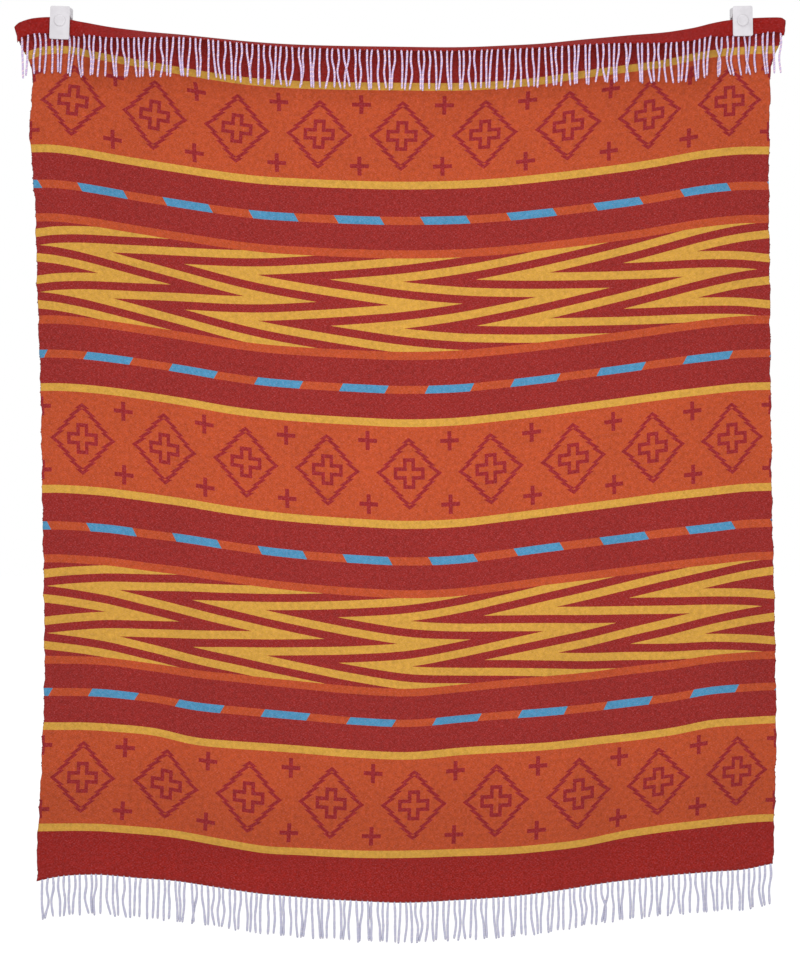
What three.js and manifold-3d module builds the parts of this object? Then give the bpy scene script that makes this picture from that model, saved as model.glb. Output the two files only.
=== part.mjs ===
// A woven throw blanket that hangs from two clips, with its top end turned over to the front.
// Millimetres: +X to the right across the cloth, +Y into the wall behind it, +Z up.
// The origin is on the wall, midway between the two clips.
import * as THREE from 'three';
import { mergeVertices } from 'three/addons/utils/BufferGeometryUtils.js';
import Module from 'manifold-3d';

const wasm = await Module();
wasm.setup();

// The cloth, laid flat
const CLOTH_WIDTH = 1270;
const CLOTH_LENGTH = 1501;
const CLOTH_THICK = 2.5;

// The fringes
const STRANDS = 134;
const STRAND_LENGTH = 67;
const STRAND_WIDE = 4.6;
const STRAND_DEEP = 3.2;
const STRAND_CLEARANCE = 2.8;
const STRIP_HEIGHT = 3;
const STRIP_GAP = 0.8;
const PIECE_GAP = 0.35;

// Down a strand: how far along it each straight stretch reaches, how much that stretch has fallen from
// the cloth's own direction to straight down, and how much of the strand's straying it has by then.
const STRAND_TURNS = [
  { reaches: 0.08, falls: 0.6, strays: 0 },
  { reaches: 0.5, falls: 1, strays: 0.4 },
  { reaches: 1, falls: 1, strays: 1 },
];

// The clips
const CLIP_REACH = 587;
const CLIP_WIDTH = 34;
const CLIP_CLOTH_DEPTH = 21;
const CLIP_BEND_RADIUS = 2.4;
const JAW_TOP = 25;
const JAW_GAP = 1;
const JAW_THICK = 3;
const JAW_CORNER = 3;
const BOSS_RADIUS = 9.8;
const BOSS_HEIGHT = 2;
const BOSS_SIDES = 24;
const WALL_PLATE_THICK = 3;
const WALL_PLATE_TOP = 28;
const WALL_PLATE_FOOT = -30;
const EAR_THICK = 5;
const EAR_FOOT = 9;
const EAR_TOP = 24.5;
const EAR_CORNER = 7;
const PAD_TOP = -5;
const PAD_WIDTH = 30;
const PIN_RADIUS = 2.5;
const PIN_SIDES = 12;
const PIN_DEPTH = 14;
const PIN_HEIGHT = 17;
const KNUCKLE_RADIUS = 7;
const KNUCKLE_SLOPE = 3;
const PIN_OVERRUN = 2;
const PLATE_ARC_STEPS = 3;
const SIDE_ARC_STEPS = 6;

// Each clip: how far it has rolled as it hangs, in degrees, and how far down its jaw reaches.
const CLIPS = [
  { side: 'left', across: -CLIP_REACH, roll: 2, jawFoot: -32 },
  { side: 'right', across: CLIP_REACH, roll: -1, jawFoot: -26.5 },
];

// Where the clips hold the cloth, measured across the flat cloth from its middle.
const HELD_AT = 562;
const HELD_HALF = 25;
const HELD_FADE = 90;
const HELD_FROM = 1290;
const HELD_FULL = 1426;

// In the tables, "v" is the height on the flat cloth above its lower edge, and "u" the place across it.

// Height of each level of the cloth at its middle.
const MIDDLE_HEIGHTS = [
  { v: 0, z: -1516 },
  { v: 83, z: -1434.5 },
  { v: 254.5, z: -1263 },
  { v: 373, z: -1154 },
  { v: 547, z: -985 },
  { v: 606, z: -928 },
  { v: 665, z: -866.5 },
  { v: 836, z: -692.5 },
  { v: 896, z: -635.5 },
  { v: 954, z: -577 },
  { v: 1128, z: -402.5 },
  { v: 1186, z: -345 },
  { v: 1246, z: -284.5 },
  { v: 1418, z: -114 },
  { v: 1501, z: -29 },
];

// The levels at which the sag between the clips is given, in the order of the columns below.
const SAG_LEVELS = [
  { v: 0, column: 'hem' },
  { v: 90, column: 'low' },
  { v: 261, column: 'knee' },
  { v: 360, column: 'thigh' },
  { v: 580, column: 'waist' },
  { v: 757, column: 'centre' },
  { v: 1253, column: 'chest' },
  { v: 1424, column: 'top' },
];

// How far each place across the cloth is higher than its middle.
const SAG = [
  { u: -635, hem: 36, low: 45.5, knee: 51.5, thigh: 56.3, waist: 61.6, centre: 62, chest: 64, top: 54 },
  { u: -605, hem: 43, low: 46, knee: 51.5, thigh: 56.3, waist: 61.6, centre: 62, chest: 64, top: 64 },
  { u: -565, hem: 48, low: 47, knee: 52, thigh: 56.1, waist: 59.5, centre: 60, chest: 60, top: 65.5 },
  { u: -520, hem: 49, low: 46.5, knee: 50, thigh: 53.5, waist: 56, centre: 56, chest: 53, top: 56.5 },
  { u: -450, hem: 41, low: 39.3, knee: 42, thigh: 43, waist: 46.3, centre: 47.5, chest: 41, top: 41.8 },
  { u: -380, hem: 32.5, low: 29.2, knee: 26.5, thigh: 33, waist: 38, centre: 36.5, chest: 29, top: 28.5 },
  { u: -310, hem: 24, low: 18.5, knee: 20, thigh: 26, waist: 27.1, centre: 24, chest: 19, top: 17.5 },
  { u: -240, hem: 12.5, low: 5.5, knee: 14, thigh: 17.2, waist: 17, centre: 15, chest: 11, top: 9 },
  { u: -170, hem: 6, low: 2.2, knee: 9, thigh: 10.5, waist: 10, centre: 9, chest: 6, top: 3.7 },
  { u: -90, hem: 3, low: 0, knee: 4, thigh: 4, waist: 4.2, centre: 4, chest: 2, top: 0.8 },
  { u: 0, hem: 0, low: 0, knee: 1, thigh: 0.5, waist: 0, centre: 0, chest: 0, top: 0 },
  { u: 90, hem: 2, low: 0.7, knee: 7.4, thigh: 7, waist: 3, centre: 3, chest: 2, top: 0.3 },
  { u: 170, hem: 9.5, low: 5.3, knee: 13, thigh: 15.8, waist: 13, centre: 11, chest: 6, top: 3.7 },
  { u: 240, hem: 18.5, low: 12, knee: 18, thigh: 22.5, waist: 22.8, centre: 19, chest: 12, top: 9.8 },
  { u: 310, hem: 27.5, low: 19.8, knee: 25, thigh: 28.4, waist: 31.3, centre: 28.5, chest: 20, top: 20.3 },
  { u: 380, hem: 36, low: 32.7, knee: 31.3, thigh: 37, waist: 39.4, centre: 38, chest: 30, top: 30.7 },
  { u: 450, hem: 47, low: 45.6, knee: 42, thigh: 46, waist: 48.8, centre: 47.5, chest: 41, top: 41.3 },
  { u: 520, hem: 53, low: 54, knee: 56, thigh: 57.5, waist: 56.8, centre: 55.5, chest: 53, top: 57.2 },
  { u: 585, hem: 56, low: 59.5, knee: 60, thigh: 62.5, waist: 64, centre: 62.5, chest: 60, top: 64.5 },
  { u: 635, hem: 65, low: 61, knee: 62, thigh: 64, waist: 66, centre: 64.5, chest: 61, top: 65 },
];

// Where the two side edges hang. The clips pull the top end wider, and soft folds draw the rest in.
const SIDE_EDGES = [
  { v: 0, left: -627, right: 641 },
  { v: 70, left: -627, right: 644 },
  { v: 165, left: -618, right: 643 },
  { v: 300, left: -612, right: 643 },
  { v: 470, left: -611, right: 639 },
  { v: 640, left: -614, right: 635 },
  { v: 810, left: -618, right: 634.5 },
  { v: 1000, left: -625, right: 634 },
  { v: 1150, left: -629, right: 632 },
  { v: 1280, left: -638, right: 632 },
  { v: 1330, left: -635, right: 633 },
  { v: 1381, left: -633, right: 635 },
  { v: 1413, left: -642, right: 643 },
  { v: 1436, left: -652, right: 652 },
  { v: 1468, left: -664, right: 661.5 },
  { v: 1501, left: -659, right: 656 },
];

// How far the middle of the cloth has slipped to the right of halfway between its edges.
const SLIP = [
  { v: 0, aside: 3 },
  { v: 750, aside: -2.5 },
  { v: 1501, aside: -5.7 },
];

// How far the cloth hangs from the wall, before its folds.
const BODY_DEPTHS = [
  { v: 0, out: 24 },
  { v: 45, out: 16 },
  { v: 85, out: 17 },
  { v: 120, out: 24 },
  { v: 170, out: 34 },
  { v: 210, out: 38 },
  { v: 270, out: 37 },
  { v: 320, out: 35 },
  { v: 380, out: 37 },
  { v: 460, out: 41 },
  { v: 560, out: 41 },
  { v: 700, out: 38 },
  { v: 880, out: 28 },
  { v: 1000, out: 26.5 },
  { v: 1200, out: 27 },
  { v: 1330, out: 31 },
  { v: 1400, out: 30 },
  { v: 1455, out: 25.5 },
  { v: 1501, out: 25 },
];

// The soft upright folds: where each crest or hollow stands at the top and at the hem, how wide it is,
// and how far it stands out (less than nothing for a hollow) at the top and at the hem.
const FOLDS = [
  { name: 'left clip', atTop: -590, atHem: -510, wide: 75, outTop: 2, outHem: 12 },
  { name: 'left hollow', atTop: -500, atHem: -395, wide: 60, outTop: -3, outHem: -9 },
  { name: 'left swag', atTop: -400, atHem: -300, wide: 70, outTop: 4, outHem: 9 },
  { name: 'inner left hollow', atTop: -260, atHem: -215, wide: 70, outTop: -3, outHem: -8 },
  { name: 'middle', atTop: -60, atHem: -30, wide: 110, outTop: 4, outHem: 7 },
  { name: 'inner right hollow', atTop: 120, atHem: 85, wide: 60, outTop: -2, outHem: -9 },
  { name: 'right swag', atTop: 300, atHem: 235, wide: 90, outTop: 4, outHem: 8 },
  { name: 'right hollow', atTop: 430, atHem: 360, wide: 55, outTop: -3, outHem: -9 },
  { name: 'right clip', atTop: 560, atHem: 485, wide: 75, outTop: 3, outHem: 9 },
  { name: 'right edge', atTop: 640, atHem: 625, wide: 45, outTop: 0, outHem: -6 },
];

// The flap across the width: how far it stands open from hanging straight down, in degrees, the
// radius of the bend over which the cloth turns, and the length of cloth that is turned over. The
// clips press it flat, and it springs open between.
const FLAP = [
  { u: -635, open: 10, bend: 3, length: 28.5 },
  { u: -610, open: 10, bend: 2.8, length: 28.5 },
  { u: -587, open: 0, bend: CLIP_BEND_RADIUS, length: 28.5 },
  { u: -537, open: 0, bend: CLIP_BEND_RADIUS, length: 28.5 },
  { u: -520, open: 26, bend: 3, length: 28.5 },
  { u: -480, open: 33, bend: 4, length: 28 },
  { u: -415, open: 51, bend: 5, length: 25.5 },
  { u: -348, open: 65, bend: 5.8, length: 20.5 },
  { u: -270, open: 62, bend: 6, length: 17 },
  { u: -167, open: 57, bend: 6, length: 16.5 },
  { u: 0, open: 50, bend: 6, length: 16.7 },
  { u: 163, open: 54, bend: 6, length: 18 },
  { u: 250, open: 55, bend: 6, length: 21.5 },
  { u: 328, open: 51, bend: 5.8, length: 25 },
  { u: 394, open: 41, bend: 5, length: 27 },
  { u: 460, open: 33, bend: 4, length: 30 },
  { u: 490, open: 30, bend: 3.5, length: 31.5 },
  { u: 520, open: 26, bend: 3, length: 29.8 },
  { u: 537, open: 0, bend: CLIP_BEND_RADIUS, length: 28.5 },
  { u: 594, open: 0, bend: CLIP_BEND_RADIUS, length: 28.5 },
  { u: 612, open: 12, bend: 2.8, length: 28.5 },
  { u: 635, open: 12, bend: 3, length: 28.5 },
];

// How the top corners droop: over what width, how far, and between which heights it sets in.
const CORNER_REACH = 10;
const CORNER_DROP = 5.5;
const CORNER_FROM = 1415;
const CORNER_FULL = 1462;

// The grid that the cloth is built on: columns up to each named place, closer together by the clips,
// and rows up to each share of the hanging length.
const COLUMN_SPANS = [
  { to: -587, steps: 2 },
  { to: -537, steps: 1 },
  { to: -440, steps: 4 },
  { to: 440, steps: 20 },
  { to: 537, steps: 4 },
  { to: 594, steps: 1 },
  { to: CLOTH_WIDTH / 2, steps: 2 },
];
const ROW_SPANS = [
  { to: 0.09, steps: 3 },
  { to: 0.91, steps: 20 },
  { to: 1, steps: 5 },
];
const BEND_STEPS = 4;

// Finds the two rows of a table that hold a place between them, and how far it is from one to the other.
function rowsAround(table, key, place) {
  const last = table.length - 1;
  const at = THREE.MathUtils.clamp(place, table[0][key], table[last][key]);
  let low = 0;
  while (low < last - 1 && at > table[low + 1][key]) low += 1;
  const span = table[low + 1][key] - table[low][key];
  return { low, span, t: (at - table[low][key]) / span };
}

// One column of a table at a place, on a smooth curve through the rows.
function smoothAlong(table, key, column, place) {
  const { low, span, t } = rowsAround(table, key, place);
  const slope = (row) => {
    const before = table[Math.max(row - 1, 0)];
    const after = table[Math.min(row + 1, table.length - 1)];
    return (after[column] - before[column]) / (after[key] - before[key]);
  };
  const rest = 1 - t;
  return (1 + 2 * t) * rest * rest * table[low][column]
    + t * rest * rest * span * slope(low)
    + t * t * (3 - 2 * t) * table[low + 1][column]
    - t * t * rest * span * slope(low + 1);
}

function sagOf(u, v) {
  const { low, t } = rowsAround(SAG_LEVELS, 'v', v);
  const lower = smoothAlong(SAG, 'u', SAG_LEVELS[low].column, u);
  const upper = smoothAlong(SAG, 'u', SAG_LEVELS[low + 1].column, u);
  return THREE.MathUtils.lerp(lower, upper, THREE.MathUtils.smoothstep(t, 0, 1));
}

// How much a place is held by a clip: 1 in its jaws, falling to 0 beside and below them.
function heldByClip(u, v) {
  const beyond = Math.abs(Math.abs(u) - HELD_AT) - HELD_HALF;
  const beside = 1 - THREE.MathUtils.smoothstep(beyond, 0, HELD_FADE);
  return beside * THREE.MathUtils.smoothstep(v, HELD_FROM, HELD_FULL);
}

// How far the middle of the cloth's thickness is from the wall.
function depthOf(u, v) {
  const up = v / CLOTH_LENGTH;
  let folds = 0;
  for (const fold of FOLDS) {
    const crest = THREE.MathUtils.lerp(fold.atHem, fold.atTop, up);
    const out = THREE.MathUtils.lerp(fold.outHem, fold.outTop, up);
    folds += out * Math.exp(-(((u - crest) / fold.wide) ** 2));
  }
  const free = smoothAlong(BODY_DEPTHS, 'v', 'out', v) + folds;
  return THREE.MathUtils.lerp(free, CLIP_CLOTH_DEPTH, heldByClip(u, v));
}

function acrossOf(u, v) {
  const left = smoothAlong(SIDE_EDGES, 'v', 'left', v);
  const right = smoothAlong(SIDE_EDGES, 'v', 'right', v);
  const share = u / CLOTH_WIDTH + 0.5;
  const aside = 4 * share * (1 - share) * smoothAlong(SLIP, 'v', 'aside', v);
  return THREE.MathUtils.lerp(left, right, share) + aside;
}

function cornerDrop(u, v) {
  const near = THREE.MathUtils.clamp((Math.abs(u) - CLOTH_WIDTH / 2) / CORNER_REACH + 1, 0, 1);
  return CORNER_DROP * near * near * THREE.MathUtils.smoothstep(v, CORNER_FROM, CORNER_FULL);
}

function hangingPoint(u, v) {
  const z = smoothAlong(MIDDLE_HEIGHTS, 'v', 'z', v) + sagOf(u, v) - cornerDrop(u, v);
  return new THREE.Vector3(acrossOf(u, v), -depthOf(u, v), z);
}

// The bend over the top at one place across: where it starts on the flat cloth, its radius, how far it
// turns, and how far the flap goes on after it.
function bendAt(u) {
  const open = Math.max(smoothAlong(FLAP, 'u', 'open', u), 0);
  const turn = Math.PI - THREE.MathUtils.degToRad(open);
  const radius = smoothAlong(FLAP, 'u', 'bend', u);
  const length = smoothAlong(FLAP, 'u', 'length', u);
  const half = (radius * turn) / 2;
  return { turn, radius, start: CLOTH_LENGTH - length - half, flap: length - half };
}

// A point on the middle of the cloth's thickness. "part" runs from 0 to 1 up the hanging cloth, from 1
// to 2 round the bend, and from 2 to 3 down the flap.
function clothPoint(u, part) {
  const bend = bendAt(u);
  if (part <= 1) return hangingPoint(u, part * bend.start);
  const foot = hangingPoint(u, bend.start);
  const turned = bend.turn * Math.min(part - 1, 1);
  const on = bend.flap * Math.max(part - 2, 0);
  const out = bend.radius * (1 - Math.cos(turned)) + on * Math.sin(turned);
  const up = bend.radius * Math.sin(turned) + on * Math.cos(turned);
  const v = bend.start + bend.radius * turned + on;
  return new THREE.Vector3(acrossOf(u, v), foot.y - out, foot.z + up);
}

// The direction out of the cloth's face, which is the front of the hanging cloth and the back of the flap.
function clothFace(u, part) {
  const reach = 2;
  const small = 0.004;
  const half = CLOTH_WIDTH / 2;
  const right = clothPoint(Math.min(u + reach, half), part);
  const left = clothPoint(Math.max(u - reach, -half), part);
  const section = Math.max(Math.ceil(part - 1e-6), 1);
  const above = clothPoint(u, Math.min(part + small, section));
  const below = clothPoint(u, Math.max(part - small, section - 1));
  return right.sub(left).cross(above.sub(below)).normalize();
}

function placesAlong(from, spans) {
  const places = [from];
  for (const span of spans) {
    const start = places[places.length - 1];
    for (let k = 1; k <= span.steps; k += 1) {
      places.push(start + ((span.to - start) * k) / span.steps);
    }
  }
  return places;
}

function meshGeometry(points, index) {
  const geometry = new THREE.BufferGeometry();
  geometry.setAttribute('position', new THREE.Float32BufferAttribute(points, 3));
  geometry.setIndex(index);
  return geometry;
}

// A closed sheet from two grids of points, its face and its back: rows run up the cloth, columns across.
function sheetGeometry(face, back) {
  const rows = face.length;
  const columns = face[0].length;
  const points = [];
  for (const side of [face, back]) {
    for (const row of side) {
      for (const point of row) points.push(point.x, point.y, point.z);
    }
  }
  const behind = rows * columns;
  const index = [];
  const quad = (a, b, c, d) => index.push(a, b, c, a, c, d);
  for (let r = 0; r < rows - 1; r += 1) {
    for (let c = 0; c < columns - 1; c += 1) {
      const a = r * columns + c;
      const above = a + columns;
      quad(a, a + 1, above + 1, above);
      quad(behind + a, behind + above, behind + above + 1, behind + a + 1);
    }
  }
  for (let c = 0; c < columns - 1; c += 1) {
    const top = (rows - 1) * columns + c;
    quad(behind + c, behind + c + 1, c + 1, c);
    quad(top, top + 1, behind + top + 1, behind + top);
  }
  for (let r = 0; r < rows - 1; r += 1) {
    const left = r * columns;
    const right = left + columns - 1;
    quad(left, left + columns, behind + left + columns, behind + left);
    quad(right + columns, right, behind + right, behind + right + columns);
  }
  return meshGeometry(points, index);
}

function clothGeometry(columns) {
  const rows = placesAlong(0, ROW_SPANS);
  for (let k = 1; k <= BEND_STEPS; k += 1) rows.push(1 + k / BEND_STEPS);
  rows.push(3);
  const grid = (offset) => rows.map((part) => columns.map((u) => (
    clothPoint(u, part).addScaledVector(clothFace(u, part), offset)
  )));
  return sheetGeometry(grid(CLOTH_THICK / 2), grid(-CLOTH_THICK / 2));
}

// Joining and cutting
function toSolid(geometry) {
  const bare = geometry.clone();
  bare.deleteAttribute('normal');
  bare.deleteAttribute('uv');
  const merged = mergeVertices(bare, 1e-4);
  return new wasm.Manifold(new wasm.Mesh({
    numProp: 3,
    vertProperties: new Float32Array(merged.attributes.position.array),
    triVerts: new Uint32Array(merged.index.array),
  }));
}

function toGeometry(solid) {
  const mesh = solid.getMesh();
  const geometry = new THREE.BufferGeometry();
  geometry.setAttribute('position', new THREE.BufferAttribute(new Float32Array(mesh.vertProperties), 3));
  geometry.setIndex(new THREE.BufferAttribute(new Uint32Array(mesh.triVerts), 1));
  return geometry;
}

function joined(geometries) {
  const [first, ...others] = geometries.map(toSolid);
  return toGeometry(others.reduce((sum, other) => sum.add(other), first));
}

function cut(geometry, tools) {
  return toGeometry(tools.reduce((left, tool) => left.subtract(toSolid(tool)), toSolid(geometry)));
}

// One end of the cloth at each column: its edge, the direction straight on past it, and its face.
function endOfCloth(columns, edgePart, innerPart) {
  return columns.map((u) => {
    const edge = clothPoint(u, edgePart);
    const onward = edge.clone().sub(clothPoint(u, innerPart)).normalize();
    return { u, edge, onward, face: clothFace(u, edgePart) };
  });
}

function betweenColumns(end, u) {
  const { low, t } = rowsAround(end, 'u', u);
  const mix = (key) => end[low][key].clone().lerp(end[low + 1][key], t);
  return { edge: mix('edge'), onward: mix('onward').normalize(), face: mix('face') };
}

// How the tips of the strands stray sideways, outwards and in length, as twisted yarn does.
const STRAYS = [
  { across: 2.2, out: 1.4, turns: 9.3, start: 0.4 },
  { across: 1.4, out: 1.6, turns: 23.7, start: 2.1 },
  { across: 0.7, out: 0.8, turns: 51.2, start: 4.4 },
];

function strayOf(share) {
  const stray = { across: 0, out: 0, long: 0 };
  for (const wave of STRAYS) {
    const angle = 2 * Math.PI * wave.turns * share + wave.start;
    stray.across += wave.across * Math.sin(angle);
    stray.out += wave.out * Math.cos(angle * 1.3);
    stray.long += wave.out * Math.sin(angle * 0.7);
  }
  return stray;
}

// The least distance from the wall at which a strand lies on the front of the hanging cloth, below the
// place on the top edge from which it hangs.
function restingDepth(topU, point) {
  const bend = bendAt(topU);
  const foot = hangingPoint(topU, bend.start);
  const v = Math.min(bend.start - (foot.z - point.z), bend.start);
  const left = smoothAlong(SIDE_EDGES, 'v', 'left', v);
  const right = smoothAlong(SIDE_EDGES, 'v', 'right', v);
  const u = ((point.x - left) / (right - left) - 0.5) * CLOTH_WIDTH;
  return depthOf(u, v) + CLOTH_THICK / 2 + STRAND_DEEP / 2 + STRAND_CLEARANCE;
}

// The middle line of a strand, at the foot of each of its turns.
function strandMiddles(root, onward, u, stray, liesOnCloth) {
  const down = new THREE.Vector3(0, 0, -1);
  const point = root.clone();
  let reached = 0;
  return STRAND_TURNS.map(({ reaches, falls, strays }) => {
    const heading = onward.clone().lerp(down, falls).normalize();
    point.addScaledVector(heading, (reaches - reached) * (STRAND_LENGTH + stray.long));
    reached = reaches;
    const middle = point.clone();
    middle.x += stray.across * strays;
    middle.y -= stray.out * strays;
    if (liesOnCloth) middle.y = Math.min(middle.y, -restingDepth(u, middle));
    return { middle, heading };
  });
}

// A fringe in one piece: the strip that holds the strands, a little past the edge of the cloth, and the
// three-sided strands that grow out of its far side. "runsUp" is true at the upper end of the cloth.
function fringeGeometry(end, runsUp) {
  const points = [];
  const index = [];
  const put = (point) => {
    points.push(point.x, point.y, point.z);
    return points.length / 3 - 1;
  };
  const triangle = (a, b, c) => index.push(...(runsUp ? [a, c, b] : [a, b, c]));
  const quad = (a, b, c, d) => {
    triangle(a, b, c);
    triangle(a, c, d);
  };
  const stripCorner = (u, side) => {
    const { edge, onward, face } = betweenColumns(end, u);
    const near = edge.addScaledVector(face, (side * CLOTH_THICK) / 2).addScaledVector(onward, STRIP_GAP);
    return { near: put(near), far: put(near.clone().addScaledVector(onward, STRIP_HEIGHT)) };
  };
  const half = CLOTH_WIDTH / 2;
  let lastFront = stripCorner(-half, 1);
  let lastBack = stripCorner(-half, -1);
  quad(lastFront.far, lastFront.near, lastBack.near, lastBack.far);
  const runTo = (front, backLeft) => {
    quad(lastFront.far, front.far, front.near, lastFront.near);
    quad(lastBack.far, lastBack.near, backLeft.near, backLeft.far);
    quad(lastFront.near, front.near, backLeft.near, lastBack.near);
    quad(lastFront.far, lastBack.far, backLeft.far, front.far);
    lastFront = front;
  };
  for (let k = 0; k < STRANDS; k += 1) {
    const share = (k + 0.5) / STRANDS;
    const u = (share - 0.5) * CLOTH_WIDTH;
    const front = stripCorner(u, 1);
    const backLeft = stripCorner(u - STRAND_WIDE / 2, -1);
    const backRight = stripCorner(u + STRAND_WIDE / 2, -1);
    runTo(front, backLeft);
    quad(backLeft.far, backLeft.near, backRight.near, backRight.far);
    triangle(front.near, backRight.near, backLeft.near);
    lastBack = backRight;

    const { edge, onward } = betweenColumns(end, u);
    const root = edge.addScaledVector(onward, STRIP_GAP + STRIP_HEIGHT);
    let ring = [front.far, backRight.far, backLeft.far];
    for (const { middle, heading } of strandMiddles(root, onward, u, strayOf(share), runsUp)) {
      const across = new THREE.Vector3(STRAND_WIDE / 2, 0, 0);
      const frontward = new THREE.Vector3(runsUp ? 1 : -1, 0, 0).cross(heading);
      const back = middle.clone().addScaledVector(frontward, -STRAND_DEEP / 3);
      const next = [
        put(middle.clone().addScaledVector(frontward, (2 * STRAND_DEEP) / 3)),
        put(back.clone().add(across)),
        put(back.clone().sub(across)),
      ];
      for (let side = 0; side < 3; side += 1) {
        const other = (side + 1) % 3;
        quad(ring[side], next[side], next[other], ring[other]);
      }
      ring = next;
    }
    triangle(ring[0], ring[2], ring[1]);
  }
  const rightFront = stripCorner(half, 1);
  const rightBack = stripCorner(half, -1);
  runTo(rightFront, rightBack);
  quad(rightFront.near, rightFront.far, rightBack.far, rightBack.near);
  return meshGeometry(points, index);
}

// The clips. Each is built about its own middle on the wall and then hung in its place.
function roundedOutline(left, right, foot, top, corner) {
  const outline = new THREE.Shape();
  outline.moveTo(left + corner, foot);
  outline.lineTo(right - corner, foot);
  outline.absarc(right - corner, foot + corner, corner, -Math.PI / 2, 0);
  outline.lineTo(right, top - corner);
  outline.absarc(right - corner, top - corner, corner, 0, Math.PI / 2);
  outline.lineTo(left + corner, top);
  outline.absarc(left + corner, top - corner, corner, Math.PI / 2, Math.PI);
  outline.lineTo(left, foot + corner);
  outline.absarc(left + corner, foot + corner, corner, Math.PI, 1.5 * Math.PI);
  return outline;
}

// A plate whose outline is seen from the front, from one depth out to another.
function plate(outline, depth, thick) {
  const extrusion = { depth: thick, bevelEnabled: false, curveSegments: PLATE_ARC_STEPS };
  return new THREE.ExtrudeGeometry(outline, extrusion).rotateX(Math.PI / 2).translate(0, -depth, 0);
}

// A piece whose outline is seen from the side, with its distance from the wall to the right of the page.
function sidePiece(outline, middle, wide) {
  const extrusion = { depth: wide, bevelEnabled: false, curveSegments: SIDE_ARC_STEPS };
  const geometry = new THREE.ExtrudeGeometry(outline, extrusion);
  const toSide = new THREE.Matrix4().makeBasis(
    new THREE.Vector3(0, -1, 0),
    new THREE.Vector3(0, 0, 1),
    new THREE.Vector3(-1, 0, 0),
  );
  return geometry.applyMatrix4(toSide).translate(middle + wide / 2, 0, 0);
}

function pinGeometry(radius, long) {
  return new THREE.CylinderGeometry(radius, radius, long, PIN_SIDES)
    .rotateZ(Math.PI / 2)
    .translate(0, -PIN_DEPTH, PIN_HEIGHT);
}

const JAW_BACK = CLIP_CLOTH_DEPTH + 2 * CLIP_BEND_RADIUS + CLOTH_THICK / 2 + JAW_GAP;

function clipBackGeometry() {
  const halfWidth = CLIP_WIDTH / 2;
  const wallPlate = plate(
    roundedOutline(-halfWidth, halfWidth, WALL_PLATE_FOOT, WALL_PLATE_TOP, JAW_CORNER),
    0,
    WALL_PLATE_THICK,
  );
  const padFront = CLIP_CLOTH_DEPTH - CLOTH_THICK / 2 - PIECE_GAP;
  const pad = plate(
    roundedOutline(-PAD_WIDTH / 2, PAD_WIDTH / 2, WALL_PLATE_FOOT + 2, PAD_TOP, JAW_CORNER),
    WALL_PLATE_THICK / 2,
    padFront - WALL_PLATE_THICK / 2,
  );
  const earFront = JAW_BACK - PIECE_GAP;
  const ear = roundedOutline(WALL_PLATE_THICK / 2, earFront, EAR_FOOT, EAR_TOP, EAR_CORNER);
  const earMiddle = halfWidth - EAR_THICK / 2;
  const body = joined([
    wallPlate,
    pad,
    sidePiece(ear, -earMiddle, EAR_THICK),
    sidePiece(ear, earMiddle, EAR_THICK),
  ]);
  return cut(body, [pinGeometry(PIN_RADIUS + PIECE_GAP, CLIP_WIDTH + PIN_OVERRUN)]);
}

// Half the section of the round thumb boss, from the middle of its hollowed face out to its rim, and
// then down into the plate and back to the middle.
const BOSS_SECTION = [
  { out: 0, stands: 0.6 },
  { out: 0.55, stands: 0.7 },
  { out: 0.8, stands: 1 },
  { out: 0.92, stands: 0.95 },
  { out: 1, stands: 0.6 },
  { out: 1, stands: -0.5 },
  { out: 0, stands: -0.5 },
];

function clipJawGeometry(jawFoot) {
  const lever = plate(
    roundedOutline(-CLIP_WIDTH / 2, CLIP_WIDTH / 2, jawFoot, JAW_TOP, JAW_CORNER),
    JAW_BACK,
    JAW_THICK,
  );
  const knuckleWidth = CLIP_WIDTH - 2 * EAR_THICK - 2 * PIECE_GAP;
  const knuckle = new THREE.Shape();
  knuckle.moveTo(JAW_BACK + JAW_THICK / 2, PIN_HEIGHT - KNUCKLE_RADIUS);
  knuckle.lineTo(JAW_BACK + JAW_THICK / 2, PIN_HEIGHT + KNUCKLE_RADIUS - KNUCKLE_SLOPE);
  knuckle.lineTo(PIN_DEPTH, PIN_HEIGHT + KNUCKLE_RADIUS);
  knuckle.absarc(PIN_DEPTH, PIN_HEIGHT, KNUCKLE_RADIUS, Math.PI / 2, 1.5 * Math.PI);
  const bossSection = BOSS_SECTION.map(({ out, stands }) => (
    new THREE.Vector2(out * BOSS_RADIUS, -stands * BOSS_HEIGHT)
  ));
  const boss = new THREE.LatheGeometry(bossSection, BOSS_SIDES).translate(0, -JAW_BACK - JAW_THICK, 0);
  const body = joined([lever, sidePiece(knuckle, 0, knuckleWidth), boss]);
  return cut(body, [pinGeometry(PIN_RADIUS + PIECE_GAP, CLIP_WIDTH + PIN_OVERRUN)]);
}

function part(name, geometry, material) {
  const mesh = new THREE.Mesh(geometry, material);
  mesh.name = name;
  return mesh;
}

const clothMaterial = new THREE.MeshStandardMaterial({ color: 0xa83a2c, roughness: 0.95, metalness: 0 });
const fringeMaterial = new THREE.MeshStandardMaterial({ color: 0xcdc3e6, roughness: 0.9, metalness: 0 });
const clipMaterial = new THREE.MeshStandardMaterial({ color: 0xe6e3e6, roughness: 0.45, metalness: 0 });

function clip({ side, across, roll, jawFoot }) {
  const group = new THREE.Group();
  group.position.x = across;
  group.rotation.y = THREE.MathUtils.degToRad(roll);
  group.add(
    part(`clip_${side}_back`, clipBackGeometry(), clipMaterial),
    part(`clip_${side}_jaw`, clipJawGeometry(jawFoot), clipMaterial),
    part(`clip_${side}_pin`, pinGeometry(PIN_RADIUS, CLIP_WIDTH), clipMaterial),
  );
  return group;
}

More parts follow.
